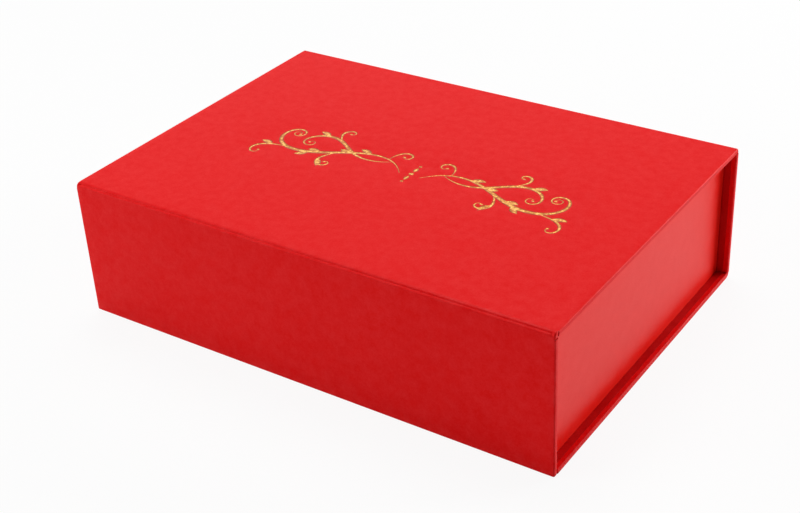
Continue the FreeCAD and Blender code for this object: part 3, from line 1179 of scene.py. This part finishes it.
# %% The rays that see a surface
def seen_rays(tree):
    """1 for rays from the camera, off a mirror or through glass, and 0 for rays that only light."""
    rays = tree.nodes.new("ShaderNodeLightPath").outputs
    seen = Output(tree, rays["Is Camera Ray"]) + Output(tree, rays["Is Glossy Ray"])
    return seen + Output(tree, rays["Is Transmission Ray"])


print("Camera, mirror and glass rays see the white.")

# %% Table
TABLE_GLOW = 0.92
TABLE_WHITE = (0.92, 0.92, 0.92, 1)
TABLE_REACH = 6.0
TABLE_TOP = -0.0001

square = ((-1, -1), (1, -1), (1, 1), (-1, 1))
mesh = bpy.data.meshes.new("table")
mesh.from_pydata([(x * TABLE_REACH, y * TABLE_REACH, TABLE_TOP) for x, y in square], [], [(0, 1, 2, 3)])
table = bpy.data.objects.new("table", mesh)
bpy.context.scene.collection.objects.link(table)
material = bpy.data.materials.new("table_white")
material.use_nodes = True
tree = material.node_tree
tree.nodes.clear()
top = Output(tree)
matt = top.node("ShaderNodeBsdfDiffuse", {}, {"Color": TABLE_WHITE})
glow = top.node("ShaderNodeEmission", {}, {"Color": (1, 1, 1, 1), "Strength": 1.0})
both = top.node("ShaderNodeMixShader", {}, {0: seen_rays(tree) * TABLE_GLOW, 1: matt, 2: glow})
surface = tree.nodes.new("ShaderNodeOutputMaterial")
tree.links.new(both.socket, surface.inputs["Surface"])
mesh.materials.append(material)
print("Table:", 2 * TABLE_REACH, "m wide")

# %% World
AMBIENT = 0.03
world = bpy.data.worlds.new("studio")
bpy.context.scene.world = world
world.use_nodes = True
tree = world.node_tree
tree.nodes.clear()
seen = seen_rays(tree)
level = seen + (1 - seen) * AMBIENT
light = Output(tree).node("ShaderNodeBackground", {}, {"Color": (1, 1, 1, 1), "Strength": level})
surroundings = tree.nodes.new("ShaderNodeOutputWorld")
tree.links.new(light.socket, surroundings.inputs["Surface"])
print("World light:", AMBIENT)

# %% [markdown]
# Three square lamps light the box softly. The largest stands high over its left back corner and
# lights the lid. A low one at the right back lights the tray's end, and a weaker one at the front
# left keeps the flap from going dull, mostly at its left end.

# %% Lamps
LAMP_TARGET = (0, 0, 0.04)


def soft_lamp(name, place, size, power):
    """A square lamp that faces the box. Its size is in metres, its power in watts."""
    lamp = bpy.data.lights.new(name, "AREA")
    lamp.shape = "SQUARE"
    lamp.size = size
    lamp.energy = power
    holder = bpy.data.objects.new(name, lamp)
    holder.location = place
    holder.rotation_euler = (Vector(LAMP_TARGET) - Vector(place)).to_track_quat("-Z", "Y").to_euler()
    bpy.context.scene.collection.objects.link(holder)


def lamp_place(azimuth, elevation, distance):
    """A place seen from the box: azimuth from behind, clockwise from above, in degrees."""
    a, e = math.radians(azimuth), math.radians(elevation)
    level = distance * math.cos(e)
    return level * math.sin(a), level * math.cos(a), distance * math.sin(e)


soft_lamp("key", lamp_place(325, 68, 2.4), size=1.4, power=33.0)
soft_lamp("front_fill", lamp_place(222, 25, 1.4), size=0.9, power=8.9)
soft_lamp("right_fill", lamp_place(38, 16, 1.6), size=0.8, power=18.6)

# %% [markdown]
# The camera stands at the right front corner, a little above the box, and is tilted slightly to
# the left. Its place and angles were found by laying the box's edges over the edges in the
# picture.

# %% Camera
CAMERA_PLACE = (0.4315, -0.6212, 0.4794)
AZIMUTH, ELEVATION, ROLL = 35.33, 30.90, -3.12
LENS = 64.93
SENSOR = 36.0
NEAREST = 0.01

camera = bpy.data.objects.new("camera", bpy.data.cameras.new("camera"))
camera.data.sensor_width = SENSOR
camera.data.lens = LENS
turn = Matrix.Rotation(math.radians(AZIMUTH), 4, "Z")
tilt = Matrix.Rotation(math.radians(90 - ELEVATION), 4, "X")
roll = Matrix.Rotation(math.radians(ROLL), 4, "Z")
camera.matrix_world = Matrix.Translation(CAMERA_PLACE) @ turn @ tilt @ roll
camera.data.clip_start = NEAREST
bpy.context.scene.collection.objects.link(camera)
bpy.context.scene.camera = camera
bpy.context.scene.view_settings.view_transform = "Standard"
print("Camera at", CAMERA_PLACE, "with a lens of", LENS, "mm")
